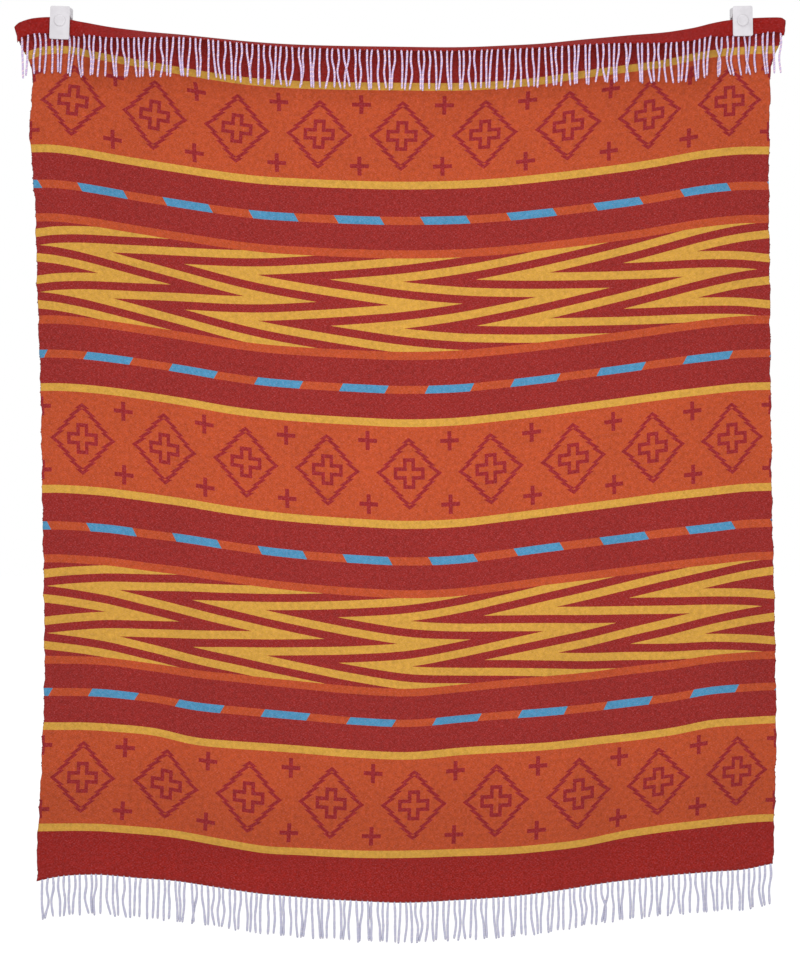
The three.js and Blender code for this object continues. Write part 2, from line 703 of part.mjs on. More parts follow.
const columns = placesAlong(-CLOTH_WIDTH / 2, COLUMN_SPANS);
const throwBlanket = new THREE.Group();
throwBlanket.add(
  part('cloth', clothGeometry(columns), clothMaterial),
  part('fringe_top', fringeGeometry(endOfCloth(columns, 3, 2.9), true), fringeMaterial),
  part('fringe_bottom', fringeGeometry(endOfCloth(columns, 0, 0.01), false), fringeMaterial),
  ...CLIPS.map(clip),
);

export default throwBlanket;
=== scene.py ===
"""A woven throw blanket that hangs from two clips, its fringed top end turned over to the front.

Metres: +X to the right across the cloth, +Y into the wall behind it, +Z up.
"""
import math

import bpy
import numpy as np
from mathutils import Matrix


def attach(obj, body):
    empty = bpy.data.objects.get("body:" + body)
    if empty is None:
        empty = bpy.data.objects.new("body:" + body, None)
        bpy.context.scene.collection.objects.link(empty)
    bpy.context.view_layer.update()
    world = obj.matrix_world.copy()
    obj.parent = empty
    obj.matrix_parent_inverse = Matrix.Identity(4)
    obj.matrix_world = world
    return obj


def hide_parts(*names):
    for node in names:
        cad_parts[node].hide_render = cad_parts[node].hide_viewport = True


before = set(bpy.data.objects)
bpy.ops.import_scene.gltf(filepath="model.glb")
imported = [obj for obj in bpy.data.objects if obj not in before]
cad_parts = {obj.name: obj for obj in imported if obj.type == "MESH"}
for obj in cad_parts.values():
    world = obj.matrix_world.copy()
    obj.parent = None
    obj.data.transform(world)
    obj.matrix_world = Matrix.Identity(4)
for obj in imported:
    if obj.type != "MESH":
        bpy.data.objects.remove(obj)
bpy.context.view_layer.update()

# The cloth: one woven panel with its banded pattern woven in, brushed soft on both faces. Two clips
# hold it near its top corners, its body sags between them in soft upright folds, and its top end is
# turned over to the front in a short flap, pressed flat in the clips and springing open between them.
CLOTH_WIDTH = 1.27
CLOTH_LENGTH = 1.501
CLOTH_THICK = 0.0025
EDGE_ROUND = 0.0009
CLIP_CLOTH_DEPTH = 0.021

COLUMNS = 176
NARROW_COLUMNS = (0.0016, 0.0034, 0.0053)
HANGING_ROWS = 200
BEND_ROWS = 12
FLAP_ROWS = 6

# In the tables, "v" is the height on the flat cloth above its lower edge, and "u" the place across it.
# Columns: v, height of the middle of the cloth there.
MIDDLE_HEIGHTS = np.array([
    (0, -1.516), (0.083, -1.4345), (0.2545, -1.263), (0.373, -1.154), (0.547, -0.985),
    (0.606, -0.928), (0.665, -0.8665), (0.836, -0.6925), (0.896, -0.6355), (0.954, -0.577),
    (1.128, -0.4025), (1.186, -0.345), (1.246, -0.2845), (1.418, -0.114), (1.501, -0.029),
])

# How far each place across is higher than the middle. Columns: u, and one for each level of SAG_LEVELS.
SAG_LEVELS = np.array([0, 0.090, 0.261, 0.360, 0.580, 0.757, 1.253, 1.424])
SAG = np.array([
    (-0.635, 0.036, 0.0455, 0.0515, 0.0563, 0.0616, 0.0620, 0.064, 0.0540),
    (-0.605, 0.043, 0.0460, 0.0515, 0.0563, 0.0616, 0.0620, 0.064, 0.0640),
    (-0.565, 0.048, 0.0470, 0.0520, 0.0561, 0.0595, 0.0600, 0.060, 0.0655),
    (-0.520, 0.049, 0.0465, 0.0500, 0.0535, 0.0560, 0.0560, 0.053, 0.0565),
    (-0.450, 0.041, 0.0393, 0.0420, 0.0430, 0.0463, 0.0475, 0.041, 0.0418),
    (-0.380, 0.0325, 0.0292, 0.0265, 0.0330, 0.0380, 0.0365, 0.029, 0.0285),
    (-0.310, 0.024, 0.0185, 0.0200, 0.0260, 0.0271, 0.0240, 0.019, 0.0175),
    (-0.240, 0.0125, 0.0055, 0.0140, 0.0172, 0.0170, 0.0150, 0.011, 0.0090),
    (-0.170, 0.006, 0.0022, 0.0090, 0.0105, 0.0100, 0.0090, 0.006, 0.0037),
    (-0.090, 0.003, 0, 0.0040, 0.0040, 0.0042, 0.0040, 0.002, 0.0008),
    (0, 0, 0, 0.0010, 0.0005, 0, 0, 0, 0),
    (0.090, 0.002, 0.0007, 0.0074, 0.0070, 0.0030, 0.0030, 0.002, 0.0003),
    (0.170, 0.0095, 0.0053, 0.0130, 0.0158, 0.0130, 0.0110, 0.006, 0.0037),
    (0.240, 0.0185, 0.0120, 0.0180, 0.0225, 0.0228, 0.0190, 0.012, 0.0098),
    (0.310, 0.0275, 0.0198, 0.0250, 0.0284, 0.0313, 0.0285, 0.020, 0.0203),
    (0.380, 0.036, 0.0327, 0.0313, 0.0370, 0.0394, 0.0380, 0.030, 0.0307),
    (0.450, 0.047, 0.0456, 0.0420, 0.0460, 0.0488, 0.0475, 0.041, 0.0413),
    (0.520, 0.053, 0.0540, 0.0560, 0.0575, 0.0568, 0.0555, 0.053, 0.0572),
    (0.585, 0.056, 0.0595, 0.0600, 0.0625, 0.0640, 0.0625, 0.060, 0.0645),
    (0.635, 0.065, 0.0610, 0.0620, 0.0640, 0.0660, 0.0645, 0.061, 0.0650),
])

# Where the two side edges hang. Columns: v, left edge, right edge.
SIDE_EDGES = np.array([
    (0, -0.627, 0.641), (0.070, -0.627, 0.644), (0.165, -0.618, 0.643), (0.300, -0.612, 0.643),
    (0.470, -0.611, 0.639), (0.640, -0.614, 0.635), (0.810, -0.618, 0.6345),
    (1.000, -0.625, 0.634), (1.150, -0.629, 0.632), (1.280, -0.638, 0.632),
    (1.330, -0.635, 0.633), (1.381, -0.633, 0.635), (1.413, -0.642, 0.643),
    (1.436, -0.652, 0.652), (1.468, -0.664, 0.6615), (1.501, -0.659, 0.656),
])

# How far the middle of the cloth has slipped to the right of halfway between its edges. Columns: v,
# distance.
SLIP = np.array([(0, 0.003), (0.750, -0.0025), (1.501, -0.0057)])

# How far the cloth hangs from the wall, before its folds. Columns: v, distance.
BODY_DEPTHS = np.array([
    (0, 0.024), (0.045, 0.016), (0.085, 0.017), (0.120, 0.024), (0.170, 0.034), (0.210, 0.038),
    (0.270, 0.037), (0.320, 0.035), (0.380, 0.037), (0.460, 0.041), (0.560, 0.041),
    (0.700, 0.038), (0.880, 0.028), (1.000, 0.0265), (1.200, 0.027), (1.330, 0.031),
    (1.400, 0.030), (1.455, 0.0255), (1.501, 0.025),
])

# The upright folds, from the left clip to the right edge. Columns: place across at the top and at the
# hem, width, and how far each stands out at the top and at the hem, which is negative in a hollow.
FOLDS = np.array([
    (-0.590, -0.510, 0.075, 0.002, 0.012),
    (-0.500, -0.395, 0.060, -0.003, -0.009),
    (-0.400, -0.300, 0.070, 0.004, 0.009),
    (-0.260, -0.215, 0.070, -0.003, -0.008),
    (-0.060, -0.030, 0.110, 0.004, 0.007),
    (0.120, 0.085, 0.060, -0.002, -0.009),
    (0.300, 0.235, 0.090, 0.004, 0.008),
    (0.430, 0.360, 0.055, -0.003, -0.009),
    (0.560, 0.485, 0.075, 0.003, 0.009),
    (0.640, 0.625, 0.045, 0, -0.006),
])

# Softer creases that cross the folds. Columns: u and v at one end, u and v at the other, width, and
# how far each stands out at its middle.
CREASES = np.array([
    (-0.600, 1.300, -0.330, 0.950, 0.030, 0.0022),
    (-0.560, 1.120, -0.240, 0.700, 0.035, -0.0018),
    (0.600, 1.280, 0.330, 0.980, 0.030, 0.0020),
    (0.560, 1.080, 0.250, 0.760, 0.035, -0.0016),
    (-0.420, 0.330, -0.120, 0.180, 0.030, -0.0022),
    (0.140, 0.300, 0.420, 0.420, 0.030, -0.0020),
    (-0.150, 0.620, 0.180, 0.560, 0.040, 0.0015),
])

# The flap across the width. Columns: u, how far it stands open from hanging straight down in degrees,
# the radius of the bend over which the cloth turns, and the length of cloth that is turned over.
FLAP = np.array([
    (-0.635, 10, 0.0030, 0.0285), (-0.610, 10, 0.0028, 0.0285), (-0.587, 0, 0.0024, 0.0285),
    (-0.537, 0, 0.0024, 0.0285), (-0.520, 26, 0.0030, 0.0285), (-0.480, 33, 0.0040, 0.0280),
    (-0.415, 51, 0.0050, 0.0255), (-0.348, 65, 0.0058, 0.0205), (-0.270, 62, 0.0060, 0.0170),
    (-0.167, 57, 0.0060, 0.0165), (0, 50, 0.0060, 0.0167), (0.163, 54, 0.0060, 0.0180),
    (0.250, 55, 0.0060, 0.0215), (0.328, 51, 0.0058, 0.0250), (0.394, 41, 0.0050, 0.0270),
    (0.460, 33, 0.0040, 0.0300), (0.490, 30, 0.0035, 0.0315), (0.520, 26, 0.0030, 0.0298),
    (0.537, 0, 0.0024, 0.0285), (0.594, 0, 0.0024, 0.0285), (0.612, 12, 0.0028, 0.0285),
    (0.635, 12, 0.0030, 0.0285),
])

# The two upper corners of the hanging cloth drop a little at the very edge: over what width, how far,
# and the heights on the flat cloth between which it sets in.
CORNER_REACH = 0.010
CORNER_DROP = 0.0055
CORNER_FROM = 1.415
CORNER_FULL = 1.462

# Where the clips hold the cloth: the place across it, half the width held, the width over which that
# fades, and the heights on the flat cloth between which it takes hold.
HELD_AT = 0.562
HELD_HALF = 0.025
HELD_FADE = 0.090
HELD_FROM = 1.290
HELD_FULL = 1.426


def smooth_curve(places, values, at):
    """The value of a table at some places, on a smooth curve through its rows."""
    rise = np.empty(len(values))
    rise[1:-1] = (values[2:] - values[:-2]) / (places[2:] - places[:-2])
    rise[0] = (values[1] - values[0]) / (places[1] - places[0])
    rise[-1] = (values[-1] - values[-2]) / (places[-1] - places[-2])
    at = np.clip(at, places[0], places[-1])
    low = np.clip(np.searchsorted(places, at, side="right") - 1, 0, len(places) - 2)
    span = places[low + 1] - places[low]
    t = (at - places[low]) / span
    rest = 1 - t
    return (
        (1 + 2 * t) * rest**2 * values[low]
        + t * rest**2 * span * rise[low]
        + t**2 * (3 - 2 * t) * values[low + 1]
        - t**2 * rest * span * rise[low + 1]
    )


def eased(at, start, end):
    """0 at the start and 1 at the end, with a soft rise between them."""
    t = np.clip((at - start) / (end - start), 0, 1)
    return t * t * (3 - 2 * t)


def sag_of(u, v):
    """How far each place across is higher than the middle of the cloth at the same v."""
    curves = np.stack([smooth_curve(SAG[:, 0], column, u) for column in SAG.T[1:]])
    low = np.clip(np.searchsorted(SAG_LEVELS, v, side="right") - 1, 0, len(SAG_LEVELS) - 2)
    lower = np.take_along_axis(curves, low[None], 0)[0]
    upper = np.take_along_axis(curves, low[None] + 1, 0)[0]
    return lower + (upper - lower) * eased(v, SAG_LEVELS[low], SAG_LEVELS[low + 1])


def held_by_clip(u, v):
    """1 where a clip holds the cloth, fading to 0 beside and below it."""
    beside = 1 - eased(np.abs(np.abs(u) - HELD_AT) - HELD_HALF, 0, HELD_FADE)
    return beside * eased(v, HELD_FROM, HELD_FULL)


def depth_of(u, v):
    """How far the middle of the cloth's thickness is from the wall."""
    up = v / CLOTH_LENGTH
    depth = smooth_curve(*BODY_DEPTHS.T, v)
    for at_top, at_hem, wide, out_top, out_hem in FOLDS:
        crest = at_hem + (at_top - at_hem) * up
        depth = depth + (out_hem + (out_top - out_hem) * up) * np.exp(-(((u - crest) / wide) ** 2))
    for u_start, v_start, u_end, v_end, wide, out in CREASES:
        along = np.array([u_end - u_start, v_end - v_start])
        long = np.hypot(*along)
        along = along / long
        on = (u - u_start) * along[0] + (v - v_start) * along[1]
        off = (v - v_start) * along[0] - (u - u_start) * along[1]
        ends = eased(on, 0, long / 2) * eased(-on, -long, -long / 2)
        depth = depth + out * ends * np.exp(-((off / wide) ** 2))
    return depth + (CLIP_CLOTH_DEPTH - depth) * held_by_clip(u, v)


def side_edges(v):
    """Where the left and right edges of the cloth hang at these heights."""
    return [smooth_curve(SIDE_EDGES[:, 0], column, v) for column in SIDE_EDGES.T[1:]]


def across_of(u, v):
    """Where a place on the flat cloth hangs between the two side edges, with its slip."""
    left, right = side_edges(v)
    share = u / CLOTH_WIDTH + 0.5
    return left + (right - left) * share + 4 * share * (1 - share) * smooth_curve(*SLIP.T, v)


def hanging_place(u, v):
    """Points on the middle of the cloth's thickness, below the bend over the top."""
    corner = np.clip((np.abs(u) - CLOTH_WIDTH / 2) / CORNER_REACH + 1, 0, 1) ** 2
    drop = CORNER_DROP * corner * eased(v, CORNER_FROM, CORNER_FULL)
    z = smooth_curve(*MIDDLE_HEIGHTS.T, v) + sag_of(u, v) - drop
    return np.stack([across_of(u, v), -depth_of(u, v), z], axis=-1)


def bend_at(u):
    """The bend over the top: how far it turns, its radius, where it starts, and the flap after it."""
    degrees, radius, length = [smooth_curve(FLAP[:, 0], column, u) for column in FLAP.T[1:]]
    turn = math.pi - np.radians(np.maximum(degrees, 0))
    half = radius * turn / 2
    return turn, radius, CLOTH_LENGTH - length - half, length - half


def cloth_place(u, part):
    """Points on the middle of the cloth, and their heights on the flat cloth.

    A part runs from 0 to 1 up the hanging cloth, to 2 round the bend, and to 3 down the flap.
    """
    turn, radius, start, flap = bend_at(u)
    turned = turn * np.clip(part - 1, 0, 1)
    on = flap * np.clip(part - 2, 0, 1)
    v = start * np.minimum(part, 1) + radius * turned + on
    place = hanging_place(u, np.minimum(v, start))
    place[..., 0] = across_of(u, v)
    place[..., 1] -= radius * (1 - np.cos(turned)) + on * np.sin(turned)
    place[..., 2] += radius * np.sin(turned) + on * np.cos(turned)
    return place, v


def directions(steps):
    """The same vectors, each of length 1."""
    return steps / np.linalg.norm(steps, axis=-1, keepdims=True)


def mesh_piece(name, points, faces):
    """A new smooth-shaded piece, from its points and faces."""
    mesh = bpy.data.meshes.new(name)
    mesh.from_pydata(points, [], faces)
    mesh.polygons.foreach_set("use_smooth", [True] * len(mesh.polygons))
    mesh.update()
    piece = bpy.data.objects.new(name, mesh)
    bpy.context.scene.collection.objects.link(piece)
    return piece


def write_flat_place(piece, flat, behind=0):
    """Keeps on each point its u and v, and how far it is to the back: 0 in front, 1 behind."""
    places = np.zeros((len(flat), 3), np.float32)
    places[:, :2] = flat
    places[:, 2] = behind
    piece.data.attributes.new("flat_place", "FLOAT_VECTOR", "POINT").data.foreach_set(
        "vector", places.ravel()
    )


# Small ripples along the side edges. Columns: size, length, and where on its wave each starts. The left
# and right edges are out of step by twice RIPPLES_APART.
EDGE_RIPPLES = ((0.0005, 0.023, 0.4), (0.0006, 0.041, 1.7), (0.0007, 0.087, 3.1))
RIPPLE_REACH = 0.014
RIPPLES_APART = 2.3

from_edge = CLOTH_WIDTH / 2 - np.array(NARROW_COLUMNS)
across = np.linspace(-CLOTH_WIDTH / 2, CLOTH_WIDTH / 2, COLUMNS)
across = np.sort(np.concatenate([across, from_edge, -from_edge]))
parts = np.concatenate([
    np.linspace(0, 1, HANGING_ROWS + 1),
    1 + np.linspace(0, 1, BEND_ROWS + 1)[1:],
    2 + np.linspace(0, 1, FLAP_ROWS + 1)[1:],
])
u_grid, part_grid = np.meshgrid(across, parts)
middle, v_grid = cloth_place(u_grid, part_grid)

near_edge = np.clip(1 - (CLOTH_WIDTH / 2 - np.abs(u_grid)) / RIPPLE_REACH, 0, 1)
for size, length, start in EDGE_RIPPLES:
    side_start = start + RIPPLES_APART * np.sign(u_grid)
    middle[..., 0] += size * near_edge * np.sin(2 * math.pi * v_grid / length + side_start)

rightward = directions(np.gradient(middle, axis=1))
upward = directions(np.gradient(middle, axis=0))
face = directions(np.cross(rightward, upward))
front = middle + face * CLOTH_THICK / 2
back = middle - face * CLOTH_THICK / 2

# The border runs round the grid from the lower left corner: along the hem, up, back and down.
rows, columns = u_grid.shape
index = np.arange(rows * columns).reshape(rows, columns)
border = np.concatenate([
    index[0, :-1], index[:-1, -1], index[-1, :0:-1], index[:0:-1, 0],
])
outward = np.zeros_like(middle)
outward[0] -= upward[0]
outward[-1] += upward[-1]
outward[:, 0] -= rightward[:, 0]
outward[:, -1] += rightward[:, -1]
rim = (middle + outward * EDGE_ROUND).reshape(-1, 3)[border]

a, b = index[:-1, :-1].ravel(), index[:-1, 1:].ravel()
c, d = index[1:, 1:].ravel(), index[1:, :-1].ravel()
behind = rows * columns
edge = np.arange(len(border)) + 2 * behind
next_border, next_edge = np.roll(border, -1), np.roll(edge, -1)
cloth_faces = np.concatenate([
    np.stack([a, b, c, d], axis=1),
    np.stack([d, c, b, a], axis=1) + behind,
    np.stack([border, edge, next_edge, next_border], axis=1),
    np.stack([edge, border + behind, next_border + behind, next_edge], axis=1),
])
cloth_points = np.concatenate([front.reshape(-1, 3), back.reshape(-1, 3), rim])
flat_grid = np.stack([u_grid, v_grid], axis=-1).reshape(-1, 2)

cloth = mesh_piece("woven_cloth", cloth_points.tolist(), cloth_faces.tolist())
on_back = np.repeat([0, 1, 0.5], [len(flat_grid), len(flat_grid), len(border)])
write_flat_place(cloth, np.concatenate([flat_grid, flat_grid, flat_grid[border]]), on_back)


class Shade:
    """A value, vector or colour inside one material. Sums with it make Math nodes."""

    def __init__(self, tree, socket):
        self.tree = tree
        self.socket = socket

    def node(self, kind, settings=None, inputs=None, output=0):
        """A new node of the same material, with its settings made before its sockets are filled."""
        made = self.tree.nodes.new("ShaderNode" + kind)
        for name, value in (settings or {}).items():
            setattr(made, name, value)
        for name, value in (inputs or {}).items():
            if isinstance(value, Shade):
                self.tree.links.new(value.socket, made.inputs[name])
            else:
                made.inputs[name].default_value = value
        return Shade(self.tree, made.outputs[output])

    def maths(self, operation, *values):
        return self.node("Math", {"operation": operation}, dict(enumerate(values)))

    def __add__(self, other):
        return self.maths("ADD", self, other)

    __radd__ = __add__

    def __sub__(self, other):
        return self.maths("SUBTRACT", self, other)

    def __rsub__(self, other):
        return self.maths("SUBTRACT", other, self)

    def __mul__(self, other):
        return self.maths("MULTIPLY", self, other)

    def __truediv__(self, other):
        return self.maths("DIVIDE", self, other)

    def __lt__(self, other):
        return self.maths("LESS_THAN", self, other)

    def __gt__(self, other):
        return self.maths("GREATER_THAN", self, other)

    def __or__(self, other):
        return self.maths("MAXIMUM", self, other)

    def __abs__(self):
        return self.maths("ABSOLUTE", self)

    def fraction(self):
        return self.maths("FRACT", self)

    def folded(self, half):
        """The distance from the nearest whole repeat, for repeats of twice "half"."""
        return self.maths("PINGPONG", self, half)

    def between(self, low, high):
        return (self > low) * (self < high)

    def part(self, axis):
        """One of the three parts of a vector."""
        return self.node("SeparateXYZ", inputs={0: self}, output=axis)

    def stretched(self, scale):
        return self.node("VectorMath", {"operation": "MULTIPLY"}, {0: self, 1: scale})

    def noise(self, scale, detail=2, roughness=0.5):
        """Cloudy noise over these coordinates, about 0.5."""
        sockets = {"Vector": self, "Scale": scale, "Detail": detail, "Roughness": roughness}
        return self.node("TexNoise", inputs=sockets)

    def spread(self, low, high):
        """This value's range from low to high, stretched to 0 to 1 and held there."""
        return self.node("MapRange", inputs={0: self, 1: low, 2: high})

    def mixed(self, without, within):
        """One colour where this is 0, another where it is 1."""
        return self.node("Mix", {"data_type": "RGBA"}, {0: self, 6: without, 7: within}, output=2)


def new_material(name):
    """A material, its principled shader, and a Shade in it from which other nodes are made."""
    material = bpy.data.materials.new(name)
    material.use_nodes = True
    shader = material.node_tree.nodes["Principled BSDF"]
    return material, shader, Shade(material.node_tree, shader.outputs[0])


def dress(shader, colour, roughness, grain, strength, deep):
    """Gives a shader its colour and roughness, and fine relief from the height "grain"."""
    sockets = {"Strength": strength, "Distance": deep, "Height": grain}
    relief = grain.node("Bump", inputs=sockets)
    for name, value in (("Base Color", colour), ("Roughness", roughness), ("Normal", relief)):
        grain.tree.links.new(value.socket, shader.inputs[name])


def from_screen(red, green, blue):
    """A colour given as it is seen on a screen, 0 to 255, as linear light."""
    levels = [level / 255 for level in (red, green, blue)]
    return (*[x / 12.92 if x <= 0.04045 else ((x + 0.055) / 1.055) ** 2.4 for x in levels], 1)


# The woven pattern, on the flat cloth. It repeats upward, and mirrors about the middle of each zigzag
# field, so each band is given by its distances from that middle.
BAND_REPEAT = 0.5816
FIRST_ZIGZAG_MIDDLE = 0.4596
ZIGZAG_EDGE = 0.080
ORANGE_STRIPE = (0.080, 0.094)
DASH_STRIPE = (0.138, 0.152)
YELLOW_STRIPE = (0.1985, 0.2118)
END_BANDS = (0.0765, 1.4243)

# The lines of a zigzag field run across by ZIGZAG_REACH over the height of each row, and turn back there.
ZIGZAG_ROW = 0.040
ZIGZAG_REACH = 0.3575
ZIGZAG_PITCH = 0.2537
ZIGZAG_SHARE = 0.5
ZIGZAG_START = 0.0032

# The slanted dashes: their share of the pitch, where one starts, and how far they lean for their height.
DASH_PITCH = 0.1489
DASH_SHARE = 0.532
DASH_START = 0.0408
DASH_SLANT = 0.543

# The lozenges are drawn by a line that steps inward with a tooth at each step, and hold an outlined
# cross. Past LOZENGES_CLOSE_FROM they stand closer, by that share. A plain plus stands above and below
# the gap between two of them.
LOZENGE_PITCH = 0.1425
LOZENGE_START = 0.0070
LOZENGES_CLOSE_FROM = 0.35
LOZENGES_CLOSE_BY = 0.047
LOZENGE_HALF_WIDTH = 0.0575
LOZENGE_STEP = 0.0127
LOZENGE_STEPS = 5
LOZENGE_STEP_IN = 0.0111
LOZENGE_TOOTH = 0.0060
LOZENGE_LINE = 0.0090
CROSS_REACH = (0.0269, 0.0259)
CROSS_HALF_ARM = 0.0104
CROSS_LINE = 0.0062
PLUS_HEIGHT = 0.0535
PLUS_REACH = 0.0163
PLUS_HALF_BAR = 0.0035

YARN_RED = from_screen(115, 33, 29)
YARN_RED_END = from_screen(116, 29, 24)
YARN_RED_BEHIND = from_screen(116, 17, 10)
YARN_ORANGE = from_screen(147, 64, 38)
YARN_YELLOW = from_screen(166, 126, 57)
YARN_BLUE = from_screen(60, 115, 146)
YARN_MOTIF_RED = from_screen(116, 32, 33)
YARN_FLECK = from_screen(172, 113, 123)

# The woven lines are a little uneven: how far they stray, and the noise scales across and upward.
WOBBLE = 0.0009
WOBBLE_ACROSS = 520
WOBBLE_UPWARD = (430, 610, 1)


def bar_cross(x, y, reach_x, reach_y, half_arm):
    """A plain upright cross about a point, from the distances to it across and upward."""
    return (x < reach_x) * (y < half_arm) | (x < half_arm) * (y < reach_y)


def woven_pattern(flat):
    """The colour of the weave at a place on the flat cloth."""
    u = flat.part(0) + (flat.noise(WOBBLE_ACROSS, detail=1) - 0.5) * WOBBLE
    v = flat.part(1) + (flat.stretched(WOBBLE_UPWARD).noise(1, detail=1) - 0.5) * WOBBLE
    off_zigzag = (v - FIRST_ZIGZAG_MIDDLE).folded(BAND_REPEAT / 2)

    turn = abs(1 - off_zigzag / ZIGZAG_ROW)
    zigzag = ((u - turn * ZIGZAG_REACH - ZIGZAG_START) / ZIGZAG_PITCH).fraction() > ZIGZAG_SHARE
    zigzag = zigzag * (off_zigzag < ZIGZAG_EDGE)

    lean = (off_zigzag - sum(DASH_STRIPE) / 2) * DASH_SLANT
    dash = ((u + lean - DASH_START) / DASH_PITCH).fraction() < DASH_SHARE
    in_dashes = off_zigzag.between(*DASH_STRIPE)

    past = u - LOZENGES_CLOSE_FROM
    closer = past.maths("MAXIMUM", past, 0) * LOZENGES_CLOSE_BY
    x = (u + closer - LOZENGE_START).folded(LOZENGE_PITCH / 2)
    y = BAND_REPEAT / 2 - off_zigzag
    step = y / LOZENGE_STEP
    outside = LOZENGE_HALF_WIDTH - step * LOZENGE_STEP_IN - step.fraction() * LOZENGE_TOOTH
    line = (x < outside) * (x > outside - LOZENGE_LINE) * (step < LOZENGE_STEPS)
    reach_x, reach_y = CROSS_REACH
    cross = bar_cross(x, y, reach_x, reach_y, CROSS_HALF_ARM) - bar_cross(
        x, y, reach_x - CROSS_LINE, reach_y - CROSS_LINE, CROSS_HALF_ARM - CROSS_LINE
    )
    plus = bar_cross(
        LOZENGE_PITCH / 2 - x, abs(y - PLUS_HEIGHT), PLUS_REACH, PLUS_REACH, PLUS_HALF_BAR
    )
    motifs = line | cross | plus
    in_lozenges = off_zigzag > YELLOW_STRIPE[1]

    colour = (off_zigzag.between(*ORANGE_STRIPE) | in_dashes | in_lozenges).mixed(
        YARN_RED, YARN_ORANGE
    )
    colour = (zigzag | off_zigzag.between(*YELLOW_STRIPE)).mixed(colour, YARN_YELLOW)
    colour = (dash * in_dashes).mixed(colour, YARN_BLUE)
    colour = (motifs * in_lozenges).mixed(colour, YARN_MOTIF_RED)
    low_end, high_end = END_BANDS
    end_colour = flat.part(2).mixed(YARN_RED_END, YARN_RED_BEHIND)
    return ((v < low_end) | (v > high_end)).mixed(colour, end_colour)


# The brushed face of the weave: the noise scales of its weft, warp, felted hairs and broad patches, how
# much each lightens or darkens it, and how much each stands out in its pile.
WEFT_SCALE = (260, 1250, 1)
WARP_SCALE = (1100, 330, 1)
WEAVE_NOISE_ROUGHNESS = 0.6
FELT_SCALE = 130
FELT_NOISE_ROUGHNESS = 0.65
PATCH_SCALE = 9
FLECK_RANGE = (0.5, 0.72)
FLECK_AMOUNT = 0.38
TONE_FLOOR = 0.56
TONE_OF_FELT = 0.7
TONE_OF_PATCHES = 0.16
TONE_OF_WEFT = 0.8
CLOTH_SATURATION = 1.04
PILE_OF_WEFT = 0.55
PILE_OF_WARP = 0.35
PILE_OF_FELT = 0.7
PILE_STRENGTH = 0.55
PILE_DEEP = 0.0016
CLOTH_ROUGHNESS = (0.86, 0.1)
CLOTH_SHEEN = 0.03
CLOTH_SHEEN_ROUGHNESS = 0.6
CLOTH_SPECULAR = 0.08


def cloth_material():
    """The woven pattern with lighter flecks, uneven tone and a soft pile."""
    material, shader, start = new_material("brushed_weave")
    flat = start.node("Attribute", {"attribute_name": "flat_place"}, output="Vector")
    weft = flat.stretched(WEFT_SCALE).noise(1, detail=3, roughness=WEAVE_NOISE_ROUGHNESS)
    warp = flat.stretched(WARP_SCALE).noise(1, detail=2, roughness=WEAVE_NOISE_ROUGHNESS)
    felted = flat.noise(FELT_SCALE, detail=3, roughness=FELT_NOISE_ROUGHNESS)
    patches = flat.noise(PATCH_SCALE, detail=2)

    flecks = (weft * 0.5 + warp * 0.5).spread(*FLECK_RANGE) * FLECK_AMOUNT
    colour = flecks.mixed(woven_pattern(flat), YARN_FLECK)
    tone = TONE_FLOOR + felted * TONE_OF_FELT + (patches - 0.5) * TONE_OF_PATCHES
    tone = tone + (weft - 0.5) * TONE_OF_WEFT
    toned = {"Saturation": CLOTH_SATURATION, "Value": tone, "Color": colour}
    colour = start.node("HueSaturation", inputs=toned)
    pile = weft * PILE_OF_WEFT + warp * PILE_OF_WARP + felted * PILE_OF_FELT
    least_rough, rougher = CLOTH_ROUGHNESS
    dress(shader, colour, least_rough + felted * rougher, pile, PILE_STRENGTH, PILE_DEEP)
    shader.inputs["Sheen Weight"].default_value = CLOTH_SHEEN
    shader.inputs["Sheen Roughness"].default_value = CLOTH_SHEEN_ROUGHNESS
    shader.inputs["Specular IOR Level"].default_value = CLOTH_SPECULAR
    return material


brushed_weave = cloth_material()
cloth.data.materials.append(brushed_weave)
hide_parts("cloth")
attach(cloth, "root")

# The fringes: the ends of the warp, left long at both ends of the cloth and twisted into two-ply
# strands that start inside the hem. Those of the flap hang in front of the cloth. They are soft and
# uneven: groups lean together, pairs cling to each other, and a few cross.
STRANDS = 134
STRAND_LENGTH = 0.0705
STRAND_LENGTH_STRAYS = 0.0022
FLAP_STRAND_RADIUS = 0.00175
HEM_STRAND_RADIUS = 0.0021
STRAND_SIDES = 8
STRAND_RINGS = 17
STRAND_ROOT_IN = 0.0022
STRAND_ROOT_STRAYS = 0.0014
FRINGE_INSET = 0.0035
STRAND_CLEARANCE = 0.0008
HEADING_SETTLES = 0.13

# The thickness of a strand at its first two rings and at its tip, as shares of the rest, how far it
# strays elsewhere, and how far the middles of its two rounded ends stand out, in radii.
ROOT_THIN = (0.55, 0.92)
TIP_THIN = 0.78
THICKNESS_STRAYS = 0.13
ROOT_END = 0.4
TIP_END = 0.7

# Where along a strand it bends, and how far it strays across and outward there at most.
BENDS = (0, 0.3, 0.62, 1)
BENDS_ACROSS = (0, 0.0019, 0.0026, 0.0042)
BENDS_OUT = (0, 0.0008, 0.0012, 0.0018)

# Groups of strands lean together in waves, so many to a fringe. Of the pairs, a share cling together
# toward the tip, and a share cross; the gaps between the middles of two strands are in radii.
GROUP_LEAN = 0.0034
GROUPS = (7.3, 17.9, 31.4)
CLINGING_SHARE = 0.34
CLINGING_BENDS = np.array([0, 0.15, 0.6, 1])
CLINGING_GAP = 2.1
CROSSING_SHARE = 0.045
CROSSING_BENDS = np.array([0.1, 0.6, 1])
CROSSING_REACH = 0.0052
CROSSING_GAP = 2.1
CROSSING_RISE = (0.05, 0.45)
LEAST_GAP = 2.04
PUSHES_APART = 12

